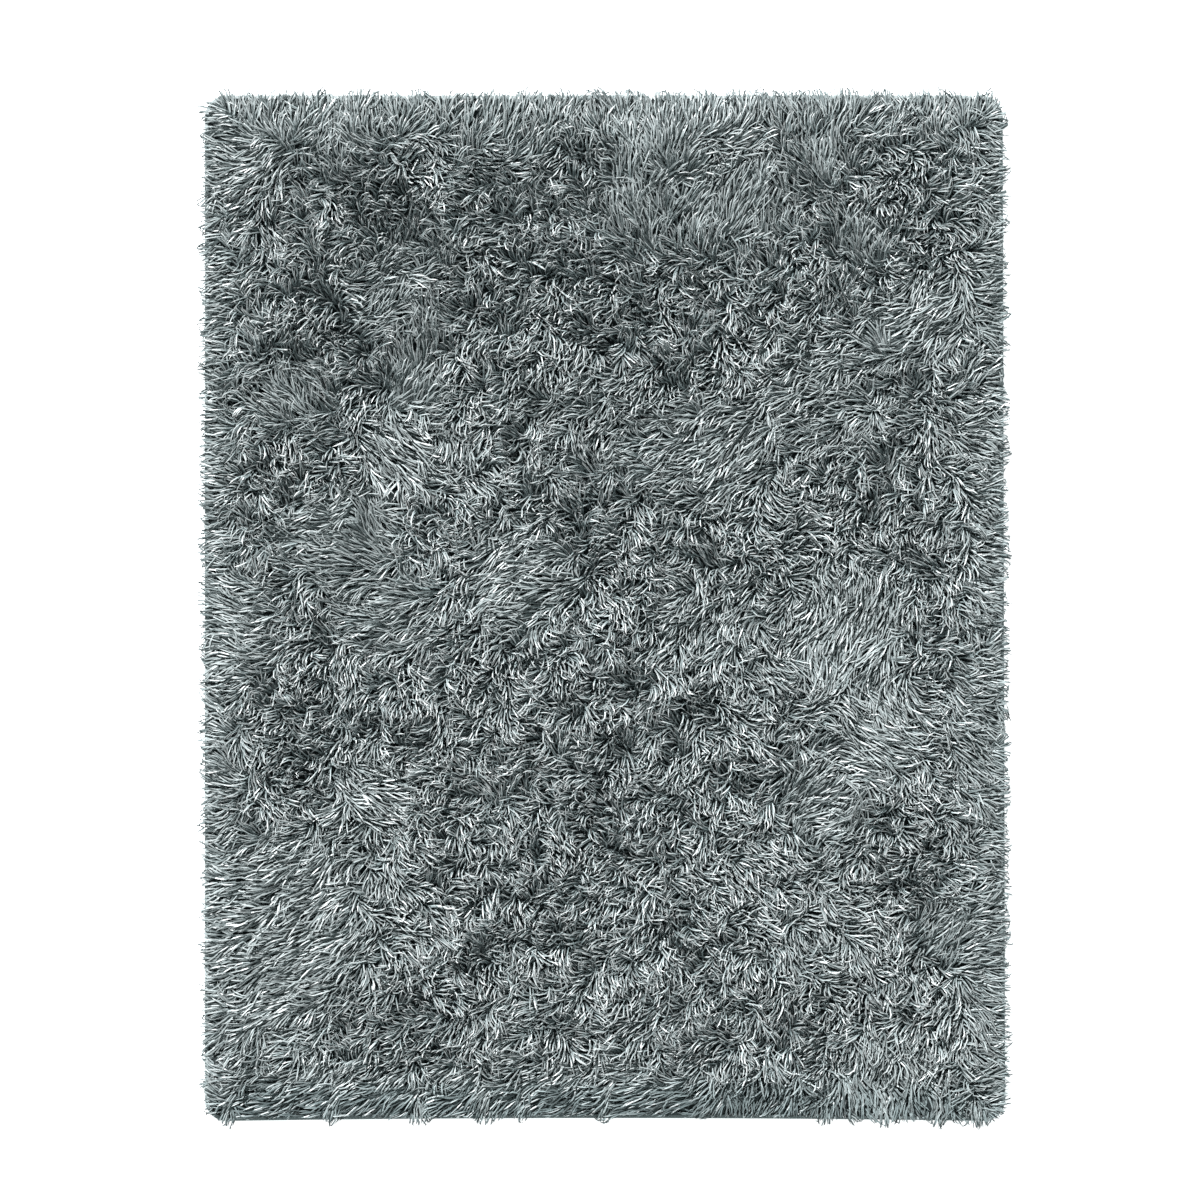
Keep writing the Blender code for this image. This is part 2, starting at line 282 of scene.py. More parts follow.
def soft_noise(x, y, size, draw):
    """Smooth random heights from -1 to 1: a sum of sine waves of about this size, each with
    its own direction and start."""
    total = np.zeros_like(x)
    for _ in range(NOISE_WAVES):
        turn, start = draw.uniform(0, 2 * np.pi, 2)
        rate = 2 * np.pi / (size * draw.uniform(*WAVE_SIZES))
        total += np.sin((x * np.cos(turn) + y * np.sin(turn)) * rate + start)
    return np.clip(total / np.sqrt(NOISE_WAVES), -1, 1)


def foot_mesh():
    """A grid of soft lumps over the root area, its corners drawn in to the round ones and its
    border pulled down to the backing, where a fan closes it underneath."""
    half_x, half_y = HALF_WIDTH - ROOT_INSET, HALF_LENGTH - ROOT_INSET
    across = np.linspace(-half_x, half_x, FOOT_COLUMNS)
    along = np.linspace(-half_y, half_y, FOOT_ROWS)
    y, x = np.meshgrid(along, across, indexing="ij")
    distance, out_x, out_y = past_edge(x, y)
    over = np.maximum(distance + ROOT_INSET, 0)
    x, y = x - out_x * over, y - out_y * over
    draw = np.random.default_rng(FOOT_SEED)
    lumps = sum(share * soft_noise(x, y, size, draw) for size, share in FOOT_LUMPS)
    distance, _, _ = past_edge(x, y)
    rise = np.sqrt(np.clip((-distance - ROOT_INSET) / FOOT_EDGE, 0, 1))
    height = ROOT_HEIGHT + (FOOT_HEIGHT - ROOT_HEIGHT + FOOT_LUMP_HEIGHT * lumps) * rise
    frame_x, frame_y = uneven(x, y)
    points = np.stack([frame_x, frame_y, height], axis=-1).reshape(-1, 3)
    top = grid_triangles(FOOT_ROWS, FOOT_COLUMNS)
    index = np.arange(FOOT_ROWS * FOOT_COLUMNS).reshape(FOOT_ROWS, FOOT_COLUMNS)
    border = np.concatenate(
        [index[0, :-1], index[:-1, -1], index[-1, :0:-1], index[:0:-1, 0]]
    )
    under = np.full(border.size, len(points))
    points = np.concatenate([points, [(MIDDLE_X, MIDDLE_Y, ROOT_HEIGHT)]])
    bottom = np.stack([np.roll(border, -1), border, under], axis=1)
    return points, np.concatenate([top, bottom])


def foot_yarn_painted_shade():
    """Matted polyester at the roots: rough, painted dark as shade, and mottled as if by single
    strands.
    """
    made = bpy.data.materials.new("matted_polyester_painted_shade")
    made.use_nodes = True
    shader = made.node_tree.nodes["Principled BSDF"]
    shader.inputs["Roughness"].default_value = 0.9
    shader.inputs["Specular IOR Level"].default_value = 0.15
    place = add_node(made, "ShaderNodeTexCoord")
    mottle = add_node(
        made,
        "ShaderNodeTexNoise",
        [("Scale", 1 / MOTTLE_SIZE), ("Detail", 3.0)],
        [("Vector", place, "Object")],
    )
    ramp = add_node(made, "ShaderNodeValToRGB", [], [("Fac", mottle, "Fac")])
    for stop, (position, hex_colour) in zip(ramp.color_ramp.elements, MOTTLED_SHADE_COLOURS):
        stop.position = position
        stop.color = linear(hex_colour)
    made.node_tree.links.new(shader.inputs["Base Color"], ramp.outputs["Color"])
    return made


foot = new_piece("pile_foot", *foot_mesh(), foot_yarn_painted_shade())
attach(foot, "root")
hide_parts("pile")


# The pile. Long strands of soft polyester yarn, tufted one by one and combed and trodden into
# locks that lie over each other; at the rim they roll out over the hem and down to the floor.

STRAND_STEPS = 12  # steps along a strand when its curve is added up
SIDES = 3  # a strand's

# The upper strands lie over the lower ones, stand more evenly apart and show their tips. A
# layer's rings are the steps that carry a ring of points; the last step is the tip. One of the
# steps from its place's first number up to its second, not with it, stands where the lay is
# read. Its reach is how far along the yarn's colours it shows: the lower strands stop short of
# the palest, as painted shade under the upper ones.
UPPER = {
    "spacing": 0.0072,
    "jitter": 0.30,
    "length": (0.042, 0.050),
    "height": 1.0,
    "rings": (3, 7, 10),
    "radius": 0.00102,
    "place": (6, 9),
    "reach": 1.0,
}
LOWER = {
    "spacing": 0.0076,
    "jitter": 0.45,
    "length": (0.034, 0.044),
    "height": 0.88,
    "rings": (2, 8),
    "radius": 0.00100,
    "place": (5, 8),
    "reach": 0.85,
}
PILE_BANDS = 6  # the pile is kept as this many pieces, one beyond the other along Y

# How the pile lies, where it was brushed or trodden: around x, y and out to about this reach
# the tips point along the heading, in degrees from +X towards +Y. Lift is from -1, pressed
# flat, to 1, standing up. Order is from 0, tousled, to 1, combed.
LAY = (
    # x, y, reach, heading, lift, order
    (-0.53, 0.69, 0.043, 262, 0.3, 0.8),
    (-0.58, 0.70, 0.050, 175, 0.0, 0.9),
    (-0.42, 0.73, 0.062, 60, 0.0, 0.7),
    (-0.34, 0.61, 0.062, 160, 0.8, 0.1),
    (-0.28, 0.69, 0.056, 330, 0.3, 0.5),
    (-0.16, 0.72, 0.070, 38, 0.0, 0.6),
    (0.08, 0.74, 0.056, 85, 0.0, 0.9),
    (0.17, 0.73, 0.056, 10, 0.2, 0.7),
    (0.35, 0.70, 0.034, 80, -0.6, 0.9),
    (0.43, 0.71, 0.062, 10, 0.2, 0.3),
    (0.24, 0.63, 0.053, 62, -0.1, 0.9),
    (0.15, 0.61, 0.056, 48, 0.1, 0.7),
    (0.04, 0.62, 0.056, 88, -0.1, 0.8),
    (-0.06, 0.61, 0.062, 186, 0.3, 0.4),
    (-0.20, 0.59, 0.062, 190, 0.3, 0.4),
    (0.40, 0.57, 0.034, 75, -0.6, 0.9),
    (0.53, 0.61, 0.062, 340, 0.3, 0.2),
    (-0.32, 0.49, 0.077, 26, 0.2, 0.7),
    (-0.20, 0.43, 0.062, 184, 0.2, 0.3),
    (-0.27, 0.44, 0.034, 110, 0.0, 0.7),
    (-0.49, 0.32, 0.056, 120, 0.1, 0.8),
    (-0.29, 0.35, 0.040, 60, -0.5, 0.9),
    (0.43, 0.42, 0.028, 60, -0.7, 0.9),
    (0.50, 0.45, 0.062, 208, 0.0, 0.8),
    (0.35, 0.32, 0.093, 203, 0.2, 0.7),
    (-0.05, 0.29, 0.093, 218, 0.3, 0.6),
    (0.06, 0.24, 0.068, 182, 0.2, 0.6),
    (0.11, 0.28, 0.037, 155, 0.0, 0.8),
    (0.18, 0.24, 0.068, 226, 0.1, 0.8),
    (-0.31, 0.24, 0.062, 335, 0.0, 0.8),
    (-0.51, 0.22, 0.056, 209, 0.4, 0.2),
    (-0.44, 0.20, 0.040, 270, 0.4, 0.4),
    (-0.19, 0.20, 0.046, 355, 0.2, 0.6),
    (0.56, 0.26, 0.068, 350, 0.2, 0.6),
    (0.50, 0.11, 0.077, 213, 0.4, 0.5),
    (0.31, 0.12, 0.077, 350, 0.3, 0.4),
    (-0.43, 0.11, 0.062, 168, 0.0, 0.9),
    (-0.36, 0.13, 0.037, 90, 0.0, 0.9),
    (-0.58, -0.04, 0.068, 138, -0.1, 0.9),
    (-0.34, -0.02, 0.068, 194, -0.2, 0.8),
    (-0.13, 0.04, 0.068, 192, 0.0, 0.9),
    (0.38, -0.03, 0.077, 253, -0.4, 0.9),
    (0.15, -0.02, 0.071, 220, 0.3, 0.6),
    (-0.41, -0.13, 0.093, 180, 0.3, 0.3),
    (-0.19, -0.14, 0.056, 345, 0.2, 0.4),
    (0.26, -0.14, 0.077, 350, 0.1, 0.5),
    (0.42, -0.19, 0.062, 340, 0.0, 0.8),
    (0.55, -0.13, 0.062, 2, 0.2, 0.5),
    (-0.22, -0.20, 0.056, 240, 0.6, 0.4),
    (-0.36, -0.28, 0.056, 355, 0.0, 0.8),
    (0.10, -0.24, 0.053, 215, 0.6, 0.5),
    (0.55, -0.28, 0.062, 332, 0.2, 0.5),
    (0.34, -0.30, 0.056, 36, 0.0, 0.9),
    (-0.43, -0.38, 0.056, 225, 0.4, 0.6),
    (-0.29, -0.46, 0.077, 352, 0.2, 0.5),
    (-0.18, -0.38, 0.062, 230, 0.3, 0.4),
    (0.18, -0.40, 0.068, 336, 0.2, 0.5),
    (0.35, -0.51, 0.087, 330, 0.3, 0.6),
    (-0.52, -0.55, 0.108, 205, 0.1, 0.9),
    (-0.48, -0.45, 0.080, 203, 0.1, 0.9),
    (-0.12, -0.64, 0.085, 230, 0.3, 0.5),
    (0.06, -0.63, 0.068, 245, 0.4, 0.5),
    (0.50, -0.62, 0.062, 250, 0.4, 0.4),
    (0.55, -0.50, 0.056, 58, -0.1, 0.8),
    (-0.53, -0.757, 0.034, 172, -0.3, 1.0),
    (-0.43, -0.760, 0.040, 197, -0.3, 1.0),
    (-0.33, -0.760, 0.036, 184, -0.3, 1.0),
    (-0.22, -0.762, 0.034, 196, -0.4, 0.9),
    (-0.09, -0.755, 0.040, 192, -0.3, 1.0),
    (0.03, -0.755, 0.040, 186, -0.3, 1.0),
    (0.12, -0.762, 0.034, 172, -0.3, 0.8),
    (0.21, -0.755, 0.045, 278, 0.2, 0.5),
    (0.45, -0.740, 0.085, 305, 0.2, 0.7),
)
LAY_ELSEWHERE = (203, 0.22)  # the heading between those places, and its weight
ORDER_SHARPENED = (-0.35, 1.55)  # an order of 0 and of 1 become these, then are kept within 0 to 1
RIM_TURN = 0.055  # within this distance of the rim the tips turn outwards
RIM_PULL = 2.5  # the weight of that turn, where a row of the table weighs 1
NEAR_END_PULL = 0.05  # its weight at the near end, where the pile is brushed along the hem

# Where tufts hang over the hem at the near end all the same
HANGING = (
    # x, half width, pull
    (-0.583, 0.012, 2.5),
    (-0.423, 0.011, 2.0),
    (-0.337, 0.008, 1.0),
    (-0.288, 0.018, 2.5),
    (-0.184, 0.019, 2.5),
    (-0.130, 0.008, 1.5),
    (0.001, 0.013, 2.0),
    (0.150, 0.010, 0.8),
    (0.340, 0.014, 2.0),
    (0.385, 0.010, 2.0),
    (0.432, 0.022, 2.5),
    (0.470, 0.010, 1.5),
    (0.515, 0.014, 2.5),
    (0.572, 0.030, 2.5),
)

LATTICE_JITTER = 0.42  # centres are moved by up to this share of their pitch

# Locks: tufts that took the same set when the rug was shaken out. Where two values are given,
# they are for tousled and for combed pile.
LOCK_PITCH = 0.036
LOCK_MIX = 0.005  # the tufts of neighbouring locks stand mixed over about this distance
LOCK_TURN = (110.0, 12.0)  # a lock's turn from the lay, in degrees
LOCK_LIFT = (0.55, 0.25)
LOCK_FAN = (-0.2, 0.7)  # how far the tufts at a lock's sides turn out from it, in radians
LOCK_CURL = (1.2, 0.5)  # how far a lock bends aside along its length, in radians
LOCK_LENGTH = 0.12  # how much locks differ in length, as a share
LOCK_HEIGHT = 0.16  # how much locks differ in height, as a share
LOCK_RISE = 0.22  # a lock lies over the next like a shingle: from middle to front it is higher

# Tufts: strands that come up through the backing together
TUFT_PITCH = 0.0145
TUFT_TURN = (45.0, 7.0)  # a tuft's turn from its lock, in degrees
TUFT_LIFT = (0.35, 0.12)
TUFT_FAN = 0.30  # how far the strands at a tuft's sides turn out from it, in radians
TUFT_CURL = (1.2, 0.4)
TUFT_HEIGHT = 0.07
TUFT_RISE = 0.10
TUFT_TONE = 0.3  # how much tufts differ in tone, of how much strands do

# Strands, each a little different from its tuft
STRAND_TURN = (5.0, 2.5)
STRAND_LIFT = (0.30, 0.12)
STRAND_CURL = 0.30
CURL_DELAY = 2.2  # the bend grows with this power of the way to the tip
CURL_AHEAD = 0.3  # and this share of it is taken off all along, so that the middle keeps the lay
STRAND_TONE = (1.3, 0.8)
STRAND_ROLL = (0.8, 0.25)  # how far strands are rolled from lying flat side up, of half a turn

# Where the pile is combed the strands lie side by side, and the painted shade and highlight
# along a strand are more even: its colour is drawn this far towards the colour at this place
# along it
COMBED_EVEN = 0.75
COMBED_COLOUR = 0.72
COMBED_STOUTER = 0.10  # and they look this much stouter, since they hide the gaps between them

# The rise of a strand: its angle from upright at the root and at the tip, in degrees, in
# tousled and in combed pile
ROOT_ANGLE = (32.0, 44.0)
TIP_ANGLE = (66.0, 88.0)
LIFT_ANGLE = (10.0, 24.0)  # what a lift of 1 takes off each
PARTING_RISE = 0.4  # where the tufts part from each other, this share comes off both angles
FULL_PARTING = 1.1  # the parting that takes it all: how much the lay changes over one tuft

# Broad lumps of the pile, and its rolled rim
PRESSED_HEIGHT = 0.040  # nothing stands higher above the roots than this
LUMP_SIZE = 0.115
LUMP_SHARE = 0.20  # the lumps raise and lower the pile by this share
LUMP_SEED = 23
RIM_ROLL = 0.115  # the width of the rolled rim
RIM_ROUND = 0.6  # and the power that rounds it
RIM_SHARE = 0.42  # the pile's height at its very edge, of its full height

# The rim. Its fullness is from 0, bare, to 1, full, and it waves about a middle. Distances are
# past the backing's edge.
FULLNESS_SIZE = 0.040  # the rim is fuller and barer about this far apart
FULLNESS_MIDDLE = 0.70
FULLNESS_WAVE = 0.45
FULLNESS_SEED = 7
RIM_EDGE = (-0.007, 0.004)  # where it is bare and where it is full, the pile is held back here
RIM_REACH = (0.003, 0.020)  # and there it reaches no further than this past that
RIM_UNEVEN = (0.6, 1.0)  # strand by strand, it reaches this share of it
RIM_COMBED = 0.060  # within this distance of the rim the pile is combed
RIM_ARCH = (-32, 42)  # and arches over: this is added to the angles at its root and its tip
RIM_DROOP = 0.013  # a strand comes down to the floor over this distance
RIM_BEND = 1.2  # and the power that bends it down
FLOOR_GAP = 0.0016  # the least height of a strand's middle line
LEAST_HEIGHT = 0.0004  # and of its sides

# Painted shade at the rim: how much darker the yarn is painted there, along its colours
RIM_PAINTED_SHADE = 0.60  # the ends past the edge are painted darker, as shade, and lose their pale tips
RIM_SHADE_BAND = (-0.006, 0.014)  # which begins and is complete at these distances past the edge
NEAR_END_PAINTED_SHADE = 0.34  # and painted shade where the pile is brushed along the hem and slopes away from the light
NEAR_END_SHADE_WIDTH = 0.048  # within this distance of the near end

# Painted shade and highlight: darkest towards the root, where shade falls, and palest at the tip
YARN_SHADE_COLOURS = (
    # place along a strand, colour
    (0.15, "#2f3c3e"),
    (0.60, "#717b7c"),
    (1.00, "#9fa1a1"),
)
TONE_BRIGHTER = 0.18  # what a tone of 1 adds to a strand's brightness, as a share

PILE_SEED = 3


def smooth_step(share):
    """0 below 0, 1 above 1, and an even curve between."""
    share = np.clip(share, 0, 1)
    return share * share * (3 - 2 * share)


def spread(low_high, share):
    """The value this share of the way from the first to the second."""
    return low_high[0] + (low_high[1] - low_high[0]) * share


def rim_pull(x, out_y):
    """The weight of the outward turn: the same all round, but at the near end only what the
    table of hanging tufts gives at each x."""
    near = np.full(x.shape, NEAR_END_PULL)
    for tuft_x, half_width, pull in HANGING:
        near += pull * np.exp(-(((x - tuft_x) / half_width) ** 2))
    return RIM_PULL + (np.minimum(near, RIM_PULL) - RIM_PULL) * np.clip(-out_y, 0, 1)


def rim_fullness(x, y, out_y):
    """From 0, where the hem is bare, to 1, where the pile hangs over it: waves along the rim,
    and at the near end the outward turn."""
    wave = soft_noise(x, y, FULLNESS_SIZE, np.random.default_rng(FULLNESS_SEED))
    waved = np.clip(FULLNESS_MIDDLE + FULLNESS_WAVE * wave, 0, 1)
    near = rim_pull(x, out_y) / RIM_PULL
    return waved + (near - waved) * np.clip(-out_y, 0, 1)


def lay_at(x, y):
    """The lay as an arrow east and north, held in a complex number, of length 1 where all
    rows agree, the lift and the order at each point: the mean of the table's rows, each
    weighed by its closeness, with the way out added near the rim."""
    heading, weight = LAY_ELSEWHERE
    lay = np.full(x.shape, weight * np.exp(1j * np.radians(heading)))
    lift, order, total = np.zeros(x.shape), np.zeros(x.shape), np.full(x.shape, weight)
    for row_x, row_y, reach, heading, row_lift, row_order in LAY:
        weight = np.exp(-((x - row_x) ** 2 + (y - row_y) ** 2) / reach**2)
        lay += weight * np.exp(1j * np.radians(heading))
        lift += weight * row_lift
        order += weight * row_order
        total += weight
    order = smooth_step(spread(ORDER_SHARPENED, order / total)) * total
    distance, out_x, out_y = past_edge(x, y)
    out = rim_pull(x, out_y) * np.exp(-((distance / RIM_TURN) ** 2))
    rim = np.exp(-((distance / RIM_COMBED) ** 2))
    return (
        (lay + out * (out_x + 1j * out_y)) / (total + out),
        lift / total,
        order / total + (1 - order / total) * rim,
    )


def relief(x, y):
    """How high the pile stands at a point, as a share of its full height: the rolled rim
    times broad soft lumps."""
    distance, _, _ = past_edge(x, y)
    roll = RIM_SHARE + (1 - RIM_SHARE) * smooth_step(-distance / RIM_ROLL) ** RIM_ROUND
    lumps = soft_noise(x, y, LUMP_SIZE, np.random.default_rng(LUMP_SEED))
    return roll * (1 + LUMP_SHARE * lumps)


def strand_places(spacing, jitter, draw):
    """A staggered lattice of places, each moved by up to the jitter's share of the spacing,
    out to the rim, as complex numbers x + iy."""
    rows = int(2 * HALF_LENGTH / spacing) + 3
    columns = int(2 * HALF_WIDTH / spacing) + 3
    row, column = np.meshgrid(np.arange(rows), np.arange(columns), indexing="ij")
    x = (column + 0.5 * (row % 2) - columns / 2) * spacing
    y = (row - (rows - 1) / 2) * spacing
    x = x.ravel() + draw.uniform(-jitter, jitter, x.size) * spacing
    y = y.ravel() + draw.uniform(-jitter, jitter, y.size) * spacing
    distance, _, out_y = past_edge(x, y)
    inside = distance < spread(RIM_EDGE, rim_fullness(x, y, out_y))
    return x[inside] + 1j * y[inside]


def lattice(pitch, draw):
    """Centres in rows and columns, each moved a little, with two to spare past every side of
    the rug, as complex numbers x + iy."""
    columns = int(2 * HALF_WIDTH / pitch) + 5
    rows = int(2 * HALF_LENGTH / pitch) + 5
    row, column = np.meshgrid(np.arange(rows), np.arange(columns), indexing="ij")
    x = column - columns / 2 + 0.5 + LATTICE_JITTER * draw.uniform(-1, 1, row.shape)
    y = row - rows / 2 + 0.5 + LATTICE_JITTER * draw.uniform(-1, 1, row.shape)
    return pitch * (x + 1j * y)


def nearest(place, centres, pitch):
    """The number of the centre nearest to each place, of its own cell's and the eight around."""
    rows, columns = centres.shape
    home_row = np.floor(place.imag / pitch + rows / 2).astype(int)
    home_column = np.floor(place.real / pitch + columns / 2).astype(int)
    least = np.full(place.shape, np.inf)
    found = np.zeros(place.shape, int)
    for step_row in (-1, 0, 1):
        for step_column in (-1, 0, 1):
            row = np.clip(home_row + step_row, 0, rows - 1)
            column = np.clip(home_column + step_column, 0, columns - 1)
            away = np.abs(place - centres[row, column])
            found = np.where(away < least, row * columns + column, found)
            least = np.minimum(least, away)
    return found


def from_middle(away, lay, pitch):
    """How far ahead of the middle a place lies along the lay, and how far to its left, in half
    pitches."""
    turned = away * np.conj(lay) / np.maximum(np.abs(lay), TINY) / (pitch / 2)
    return turned.real, turned.imag


def tufts(draw):
    """The tufts' centres, and each tuft's lay, lift, lean, curl, length, height, order and
    tone: the lay at its centre, turned and lifted as its lock is and a little of its own. It
    leans less the more the way it points differs from tuft to tuft along that way, its
    divergence."""
    locks = lattice(LOCK_PITCH, draw)
    centre = lattice(TUFT_PITCH, draw)
    count = centre.shape
    aside = draw.normal(0, 1, count) + 1j * draw.normal(0, 1, count)
    lock = nearest(centre + LOCK_MIX * aside, locks, LOCK_PITCH)
    lay, lift, order = lay_at(centre.real, centre.imag)
    lock_turn, curl, length, height = (draw.uniform(-1, 1, locks.size)[lock] for _ in range(4))
    lock_lift = draw.normal(0, 1, locks.size)[lock]
    fan = draw.uniform(*LOCK_FAN, locks.size)[lock]
    turn = spread(LOCK_TURN, order) * lock_turn
    turn += spread(TUFT_TURN, order) * draw.normal(0, 1, count)
    lay *= np.exp(1j * np.radians(turn))
    ahead, left = from_middle(centre - locks.ravel()[lock], lay, LOCK_PITCH)
    lay *= np.exp(1j * fan * left)
    lift += spread(LOCK_LIFT, order) * lock_lift
    lift += spread(TUFT_LIFT, order) * draw.normal(0, 1, count)
    curl *= spread(LOCK_CURL, order)
    curl += spread(TUFT_CURL, order) * draw.normal(0, 1, count)
    length = 1 + LOCK_LENGTH * length
    height = 1 + LOCK_HEIGHT * height + TUFT_HEIGHT * draw.uniform(-1, 1, count)
    height += LOCK_RISE * np.clip(ahead, -1, 1)
    way = lay / np.maximum(np.abs(lay), TINY)
    parting = np.gradient(way.real, axis=1) + np.gradient(way.imag, axis=0)
    lean = 1 - PARTING_RISE * smooth_step(parting / FULL_PARTING)
    tone = TUFT_TONE * draw.normal(0, 1, count)
    return centre, lay, lift, lean, curl, length, height, order, tone


def bent_paths(heading, curl, length, root_angle, tip_angle):
    """Curves from the origin, as strands by steps by xyz: each leaves its root at an angle from
    upright, bends over evenly to another at its tip, and turns aside more and more as it
    goes. Its even steps are added up."""
    share = (np.arange(STRAND_STEPS) + 0.5) / STRAND_STEPS
    root_angle, tip_angle = np.radians(root_angle)[:, None], np.radians(tip_angle)[:, None]
    angle = root_angle + (tip_angle - root_angle) * share
    turn = heading[:, None] + curl[:, None] * (share**CURL_DELAY - CURL_AHEAD)
    step = (length / STRAND_STEPS)[:, None]
    path = np.zeros((len(length), STRAND_STEPS + 1, 3))
    path[:, 1:, 0] = np.cumsum(step * np.sin(angle) * np.cos(turn), axis=1)
    path[:, 1:, 1] = np.cumsum(step * np.sin(angle) * np.sin(turn), axis=1)
    path[:, 1:, 2] = np.cumsum(step * np.cos(angle), axis=1)
    return path


def rooted(path, place, height, layer, draw):
    """The paths moved so that a step in their middle stands at the strand's place, with their
    roots kept in the root area and their heights scaled by the relief and softly pressed
    under the greatest."""
    count = len(path)
    anchor = path[np.arange(count), draw.integers(*layer["place"], count)]
    x, y = place.real - anchor[:, 0], place.imag - anchor[:, 1]
    distance, out_x, out_y = past_edge(x, y)
    over = np.maximum(distance + ROOT_INSET, 0)
    path += np.stack([x - out_x * over, y - out_y * over, np.zeros(count)], axis=1)[:, None, :]
    raised = path[..., 2] * (layer["height"] * height)[:, None]
    raised *= relief(path[..., 0], path[..., 1])
    path[..., 2] = ROOT_HEIGHT + PRESSED_HEIGHT * np.tanh(raised / PRESSED_HEIGHT)
    return path


def drawn_in(path, draw):
    """The paths with what would pass the rim drawn in towards it and lowered to the floor, in
    the rug's uneven outline, and how much painted shade darkens each step there."""
    distance, out_x, out_y = past_edge(path[..., 0], path[..., 1])
    fullness = rim_fullness(path[..., 0], path[..., 1], out_y)
    limit = spread(RIM_REACH, fullness) * draw.uniform(*RIM_UNEVEN, len(path))[:, None]
    over = np.maximum(distance - spread(RIM_EDGE, fullness), 0)
    kept = limit * (1 - np.exp(-over / limit))
    path[..., 0] -= out_x * (over - kept)
    path[..., 1] -= out_y * (over - kept)
    droop = np.exp(-((over / RIM_DROOP) ** RIM_BEND))
    path[..., 2] = np.maximum(FLOOR_GAP + (path[..., 2] - FLOOR_GAP) * droop, FLOOR_GAP)
    path[..., 0], path[..., 1] = uneven(path[..., 0], path[..., 1])
    # Painted shade: the ends past the edge are darkened
    begins, complete = RIM_SHADE_BAND
    rim_shade = smooth_step((distance - begins) / (complete - begins))
    # Painted shade along the near end, where the pile is brushed along the hem
    near_end_shade = (RIM_PULL - rim_pull(path[..., 0], out_y)) / (RIM_PULL - NEAR_END_PULL)
    near_end_shade *= np.exp(-((distance / NEAR_END_SHADE_WIDTH) ** 4))
    return path, RIM_PAINTED_SHADE * rim_shade + NEAR_END_PAINTED_SHADE * near_end_shade


def strand_paths(layer, tuft_sets, draw):
    """A layer's strands: their paths, their place in the yarn's colours at each step, which paints
    shade and highlight along them, tones, turns about themselves and stoutness. Each lies, bends
    and turns aside as its tuft does and a little of its own, and near the rim it arches over."""
    place = strand_places(layer["spacing"], layer["jitter"], draw)
    count = place.size
    centre, *sets = tuft_sets
    tuft = nearest(place, centre, TUFT_PITCH)
    lay, lift, lean, curl, length, height, order, tone = (each.ravel()[tuft] for each in sets)
    ahead, left = from_middle(place - centre.ravel()[tuft], lay, TUFT_PITCH)
    height = height + TUFT_RISE * np.clip(ahead, -1, 1)
    heading = np.angle(lay) + TUFT_FAN * left
    heading += np.radians(spread(STRAND_TURN, order)) * draw.normal(0, 1, count)
    curl = curl + STRAND_CURL * draw.normal(0, 1, count)
    lift = lift + spread(STRAND_LIFT, order) * draw.normal(0, 1, count)
    length = length * draw.uniform(*layer["length"], count)
    distance, _, out_y = past_edge(place.real, place.imag)
    arch = np.exp(-((distance / RIM_COMBED) ** 2)) * rim_pull(place.real, out_y) / RIM_PULL
    root_angle = (spread(ROOT_ANGLE, order) - LIFT_ANGLE[0] * lift) * lean + RIM_ARCH[0] * arch
    tip_angle = (spread(TIP_ANGLE, order) - LIFT_ANGLE[1] * lift) * lean + RIM_ARCH[1] * arch
    path = bent_paths(heading, curl, length, root_angle, tip_angle)
    path, painted_shade = drawn_in(rooted(path, place, height, layer, draw), draw)
    tone = tone + spread(STRAND_TONE, order) * draw.normal(0, 1, count)
    # The place along the yarn's colours: painted shade towards the root and painted highlight at
    # the tip, evened where combed, less the painted shade at the rim
    shade = layer["reach"] * np.arange(STRAND_STEPS + 1) / STRAND_STEPS
    shade = shade + COMBED_EVEN * order[:, None] * (COMBED_COLOUR - shade) - painted_shade
    turn = spread(STRAND_ROLL, order) * draw.uniform(-np.pi, np.pi, count) - np.pi / 2
    return path, shade, tone, turn, 1 + COMBED_STOUTER * order


def strand_mesh(layer, path, shade, tone, turn, stoutness):
    """Three-sided tubes along the paths, with a place along the yarn's colours, which paints shade
    and highlight, and a tone at each point. Each ring lies across the path's direction there,
    turned by a start angle; the root is closed by a triangle, and the tip is a point."""
    count, rings = len(path), len(layer["rings"])
    steps = np.array(layer["rings"])
    here = path[:, steps]
    before, after = path[:, np.maximum(steps - 1, 0)], path[:, steps + 1]
    along = after - before
    along /= np.linalg.norm(along, axis=2, keepdims=True)
    upright = np.array([0.0, 0.0, 1.0])
    flat = np.cross(along, upright)
    flat /= np.maximum(np.linalg.norm(flat, axis=2, keepdims=True), TINY)
    over = np.cross(flat, along)
    angle = turn[:, None, None, None] + 2 * np.pi * np.arange(SIDES)[None, None, :, None] / SIDES
    radius = layer["radius"] * stoutness[:, None, None, None]
    ring = here[:, :, None, :] + radius * (
        np.cos(angle) * flat[:, :, None, :] + np.sin(angle) * over[:, :, None, :]
    )
    ring[..., 2] = np.maximum(ring[..., 2], LEAST_HEIGHT)
    points = np.concatenate([ring.reshape(count, -1, 3), path[:, -1:]], axis=1)
    side = np.arange(SIDES)
    after_side = (side + 1) % SIDES
    faces = [[(0, 2, 1)]]
    for number in range(rings - 1):
        low, high = number * SIDES, (number + 1) * SIDES
        faces.append(np.stack([low + side, low + after_side, high + after_side], axis=1))
        faces.append(np.stack([low + side, high + after_side, high + side], axis=1))
    last = (rings - 1) * SIDES
    tip = np.full(SIDES, rings * SIDES)
    faces.append(np.stack([last + side, last + after_side, tip], axis=1))
    pattern = np.concatenate(faces)
    each = rings * SIDES + 1
    triangles = (np.arange(count)[:, None, None] * each + pattern[None]).reshape(-1, 3)
    colour = np.concatenate([np.repeat(shade[:, steps], SIDES, axis=1), shade[:, -1:]], axis=1)
    return points.reshape(-1, 3), triangles, colour.ravel(), np.repeat(tone, each)


